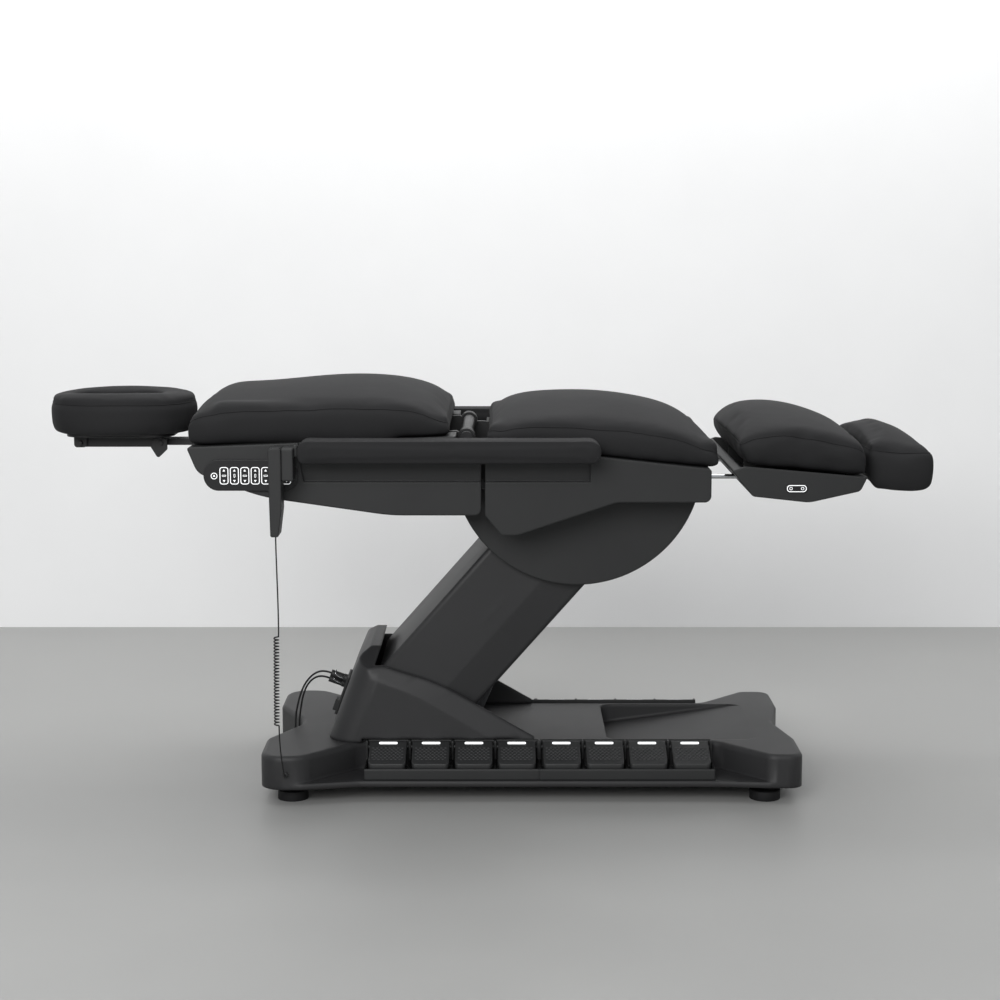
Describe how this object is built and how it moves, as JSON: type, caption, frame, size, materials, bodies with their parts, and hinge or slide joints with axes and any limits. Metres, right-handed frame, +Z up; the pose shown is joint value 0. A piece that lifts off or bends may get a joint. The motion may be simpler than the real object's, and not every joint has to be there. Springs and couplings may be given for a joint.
{
  "type": "spa treatment chair",
  "caption": "Motorised treatment chair with crowned cushions, face cradle, swinging leg rest, arm rests and handset on a slanted lift column over a foot-pedal base.",
  "frame": {"origin": "on the floor, under the middle of the object's box", "axes": "+X from the head end to the foot end, +Z up, -Y the side with the handset"},
  "size_m": [1.912, 0.77, 0.8862],
  "materials": {
    "black_leather": "satin, lightly grained",
    "charcoal_abs": "satin moulded",
    "black_abs": "satin moulded",
    "pedal_abs": "textured",
    "black_steel": "powder coat",
    "chrome": "polished",
    "rod_steel": "ground",
    "motor_grey": "satin",
    "cord_rubber": "matte",
    "foot_rubber": "matte",
    "key_membrane": "satin"
  },
  "bodies": {
    "base": {"base_frame": "black_steel", "base_cover": "charcoal_abs", "tower_cover": "charcoal_abs", "levelling_feet": "foot_rubber", "pedal_trays": "black_abs", "connector_panel": "black_abs", "lead_plugs": "black_abs", "cord_glands": "black_abs", "pedal_lead_near": "cord_rubber", "pedal_lead_far": "cord_rubber"},
    "lift_arm": {"lift_arm": "black_steel", "arm_cover": "charcoal_abs"},
    "tie_bar": {"tie_bar": "black_steel"},
    "carriage": {"carriage": "black_steel"},
    "lift_motor": {"lift_motor": "motor_grey"},
    "lift_rod": {"lift_rod": "rod_steel"},
    "tilt_motor": {"tilt_motor": "motor_grey"},
    "tilt_rod": {"tilt_rod": "rod_steel"},
    "seat": {"seat_frame": "black_steel", "hinge_tube": "black_steel", "seat_cushion": "black_leather", "seat_covers": "black_abs", "belly_cowl": "black_abs", "arm_rests": "black_leather", "handset_holder": "black_abs", "handset_cord_drop": "cord_rubber", "handset_cord_coil": "cord_rubber", "handset_cord_tail": "cord_rubber"},
    "back": {"back_frame": "black_steel", "back_cushion": "black_leather", "back_covers": "black_abs", "control_panels": "key_membrane"},
    "leg_swing": {"leg_rods": "chrome"},
    "leg_rest": {"leg_frame": "black_steel", "leg_cushion": "black_leather", "leg_cover": "black_abs", "leg_switches": "key_membrane", "foot_cushion": "black_leather"},
    "head_slide": {"head_slide": "black_steel"},
    "head_arm": {"head_arm": "black_steel"},
    "cradle": {"cradle_plate": "black_steel", "cradle_cushion": "black_leather"},
    "release_lever": {"release_lever": "black_steel"},
    "handset": {"handset": "black_abs"},
    "pedal_near_1": {"pedal_near_1": "pedal_abs"},
    "pedal_near_2": {"pedal_near_2": "pedal_abs"},
    "pedal_near_3": {"pedal_near_3": "pedal_abs"},
    "pedal_near_4": {"pedal_near_4": "pedal_abs"},
    "pedal_near_5": {"pedal_near_5": "pedal_abs"},
    "pedal_near_6": {"pedal_near_6": "pedal_abs"},
    "pedal_near_7": {"pedal_near_7": "pedal_abs"},
    "pedal_near_8": {"pedal_near_8": "pedal_abs"},
    "pedal_far_1": {"pedal_far_1": "pedal_abs"},
    "pedal_far_2": {"pedal_far_2": "pedal_abs"},
    "pedal_far_3": {"pedal_far_3": "pedal_abs"},
    "pedal_far_4": {"pedal_far_4": "pedal_abs"},
    "pedal_far_5": {"pedal_far_5": "pedal_abs"},
    "pedal_far_6": {"pedal_far_6": "pedal_abs"},
    "pedal_far_7": {"pedal_far_7": "pedal_abs"},
    "pedal_far_8": {"pedal_far_8": "pedal_abs"}
  },
  "joints": [
    {"name": "lift", "type": "hinge", "parent": "base", "child": "lift_arm", "pos_m": [-0.1925, 0, 0.142], "axis": [0, 1, 0], "range_deg": [0, 20], "deforming": ["handset_cord_drop", "handset_cord_coil", "handset_cord_tail"]},
    {"name": "tie_bar", "type": "hinge", "parent": "base", "child": "tie_bar", "pos_m": [-0.1305, 0, 0.1], "axis": [0, 1, 0], "range_deg": [0, 20]},
    {"name": "carriage", "type": "hinge", "parent": "lift_arm", "child": "carriage", "pos_m": [0.199, 0, 0.58607], "axis": [0, 1, 0], "range_deg": [-20, 0]},
    {"name": "lift_motor", "type": "hinge", "parent": "base", "child": "lift_motor", "pos_m": [-0.0515, 0, 0.09], "axis": [0, 1, 0], "range_deg": [0, 22]},
    {"name": "lift_rod", "type": "slide", "parent": "lift_motor", "child": "lift_rod", "axis": [0.3921, 0, 0.9199], "range_m": [-0.052, 0]},
    {"name": "tilt", "type": "hinge", "parent": "carriage", "child": "seat", "pos_m": [0.255, 0, 0.67507], "axis": [0, -1, 0], "range_deg": [0, 20], "deforming": ["handset_cord_drop", "handset_cord_coil", "handset_cord_tail"]},
    {"name": "tilt_motor", "type": "hinge", "parent": "carriage", "child": "tilt_motor", "pos_m": [0.294, 0, 0.56007], "axis": [0, -1, 0], "range_deg": [0, 14]},
    {"name": "tilt_rod", "type": "slide", "parent": "tilt_motor", "child": "tilt_rod", "axis": [0.7433, 0, 0.669], "range_m": [0, 0.038]},
    {"name": "back", "type": "hinge", "parent": "seat", "child": "back", "pos_m": [-0.035, 0, 0.77507], "axis": [0, 1, 0], "range_deg": [0, 70]},
    {"name": "leg", "type": "hinge", "parent": "seat", "child": "leg_swing", "pos_m": [0.449, 0, 0.68607], "axis": [0, 1, 0], "range_deg": [0, 60]},
    {"name": "leg_extension", "type": "slide", "parent": "leg_swing", "child": "leg_rest", "axis": [1, 0, 0], "range_m": [0, 0.08]},
    {"name": "head_slide", "type": "slide", "parent": "back", "child": "head_slide", "axis": [-1, 0, 0], "range_m": [0, 0.06]},
    {"name": "head_arm", "type": "hinge", "parent": "head_slide", "child": "head_arm", "pos_m": [-0.708, 0, 0.74607], "axis": [0, -1, 0], "range_deg": [0, 30]},
    {"name": "cradle", "type": "hinge", "parent": "head_arm", "child": "cradle", "pos_m": [-0.885, 0, 0.74607], "axis": [0, -1, 0], "range_deg": [0, 35]},
    {"name": "release_lever", "type": "hinge", "parent": "head_slide", "child": "release_lever", "pos_m": [-0.708, 0, 0.74607], "axis": [0, -1, 0], "range_deg": [0, 20], "stiffness_Nm_per_rad": 0.3, "springref_deg": -17.19},
    {"name": "handset", "type": "slide", "parent": "seat", "child": "handset", "axis": [0, 0, 1], "range_m": [0, 0.07], "deforming": ["handset_cord_drop", "handset_cord_coil", "handset_cord_tail"]},
    {"name": "pedal_near_1", "type": "hinge", "parent": "base", "child": "pedal_near_1", "pos_m": [-0.20569, -0.188, 0.1], "axis": [1, 0, 0], "range_deg": [0, 6], "stiffness_Nm_per_rad": 4, "springref_deg": -8.59},
    {"name": "pedal_near_2", "type": "hinge", "parent": "base", "child": "pedal_near_2", "pos_m": [-0.11306, -0.188, 0.1], "axis": [1, 0, 0], "range_deg": [0, 6], "stiffness_Nm_per_rad": 4, "springref_deg": -8.59},
    {"name": "pedal_near_3", "type": "hinge", "parent": "base", "child": "pedal_near_3", "pos_m": [-0.02044, -0.188, 0.1], "axis": [1, 0, 0], "range_deg": [0, 6], "stiffness_Nm_per_rad": 4, "springref_deg": -8.59},
    {"name": "pedal_near_4", "type": "hinge", "parent": "base", "child": "pedal_near_4", "pos_m": [0.07219, -0.188, 0.1], "axis": [1, 0, 0], "range_deg": [0, 6], "stiffness_Nm_per_rad": 4, "springref_deg": -8.59},
    {"name": "pedal_near_5", "type": "hinge", "parent": "base", "child": "pedal_near_5", "pos_m": [0.16881, -0.188, 0.1], "axis": [1, 0, 0], "range_deg": [0, 6], "stiffness_Nm_per_rad": 4, "springref_deg": -8.59},
    {"name": "pedal_near_6", "type": "hinge", "parent": "base", "child": "pedal_near_6", "pos_m": [0.26144, -0.188, 0.1], "axis": [1, 0, 0], "range_deg": [0, 6], "stiffness_Nm_per_rad": 4, "springref_deg": -8.59},
    {"name": "pedal_near_7", "type": "hinge", "parent": "base", "child": "pedal_near_7", "pos_m": [0.35406, -0.188, 0.1], "axis": [1, 0, 0], "range_deg": [0, 6], "stiffness_Nm_per_rad": 4, "springref_deg": -8.59},
    {"name": "pedal_near_8", "type": "hinge", "parent": "base", "child": "pedal_near_8", "pos_m": [0.44669, -0.188, 0.1], "axis": [1, 0, 0], "range_deg": [0, 6], "stiffness_Nm_per_rad": 4, "springref_deg": -8.59},
    {"name": "pedal_far_1", "type": "hinge", "parent": "base", "child": "pedal_far_1", "pos_m": [-0.20569, 0.188, 0.1], "axis": [-1, 0, 0], "range_deg": [0, 6], "stiffness_Nm_per_rad": 4, "springref_deg": -8.59},
    {"name": "pedal_far_2", "type": "hinge", "parent": "base", "child": "pedal_far_2", "pos_m": [-0.11306, 0.188, 0.1], "axis": [-1, 0, 0], "range_deg": [0, 6], "stiffness_Nm_per_rad": 4, "springref_deg": -8.59},
    {"name": "pedal_far_3", "type": "hinge", "parent": "base", "child": "pedal_far_3", "pos_m": [-0.02044, 0.188, 0.1], "axis": [-1, 0, 0], "range_deg": [0, 6], "stiffness_Nm_per_rad": 4, "springref_deg": -8.59},
    {"name": "pedal_far_4", "type": "hinge", "parent": "base", "child": "pedal_far_4", "pos_m": [0.07219, 0.188, 0.1], "axis": [-1, 0, 0], "range_deg": [0, 6], "stiffness_Nm_per_rad": 4, "springref_deg": -8.59},
    {"name": "pedal_far_5", "type": "hinge", "parent": "base", "child": "pedal_far_5", "pos_m": [0.16881, 0.188, 0.1], "axis": [-1, 0, 0], "range_deg": [0, 6], "stiffness_Nm_per_rad": 4, "springref_deg": -8.59},
    {"name": "pedal_far_6", "type": "hinge", "parent": "base", "child": "pedal_far_6", "pos_m": [0.26144, 0.188, 0.1], "axis": [-1, 0, 0], "range_deg": [0, 6], "stiffness_Nm_per_rad": 4, "springref_deg": -8.59},
    {"name": "pedal_far_7", "type": "hinge", "parent": "base", "child": "pedal_far_7", "pos_m": [0.35406, 0.188, 0.1], "axis": [-1, 0, 0], "range_deg": [0, 6], "stiffness_Nm_per_rad": 4, "springref_deg": -8.59},
    {"name": "pedal_far_8", "type": "hinge", "parent": "base", "child": "pedal_far_8", "pos_m": [0.44669, 0.188, 0.1], "axis": [-1, 0, 0], "range_deg": [0, 6], "stiffness_Nm_per_rad": 4, "springref_deg": -8.59}
  ],
  "couplings": [
    {"joint": "tie_bar", "follows": "lift", "ratio": 1},
    {"joint": "carriage", "follows": "lift", "ratio": -1},
    {"joint": "lift_motor", "follows": "lift", "ratio": 1.07},
    {"joint": "lift_rod", "follows": "lift", "m_per_rad": -0.146},
    {"joint": "tilt_motor", "follows": "tilt", "ratio": 0.668},
    {"joint": "tilt_rod", "follows": "tilt", "m_per_rad": 0.1058}
  ]
}
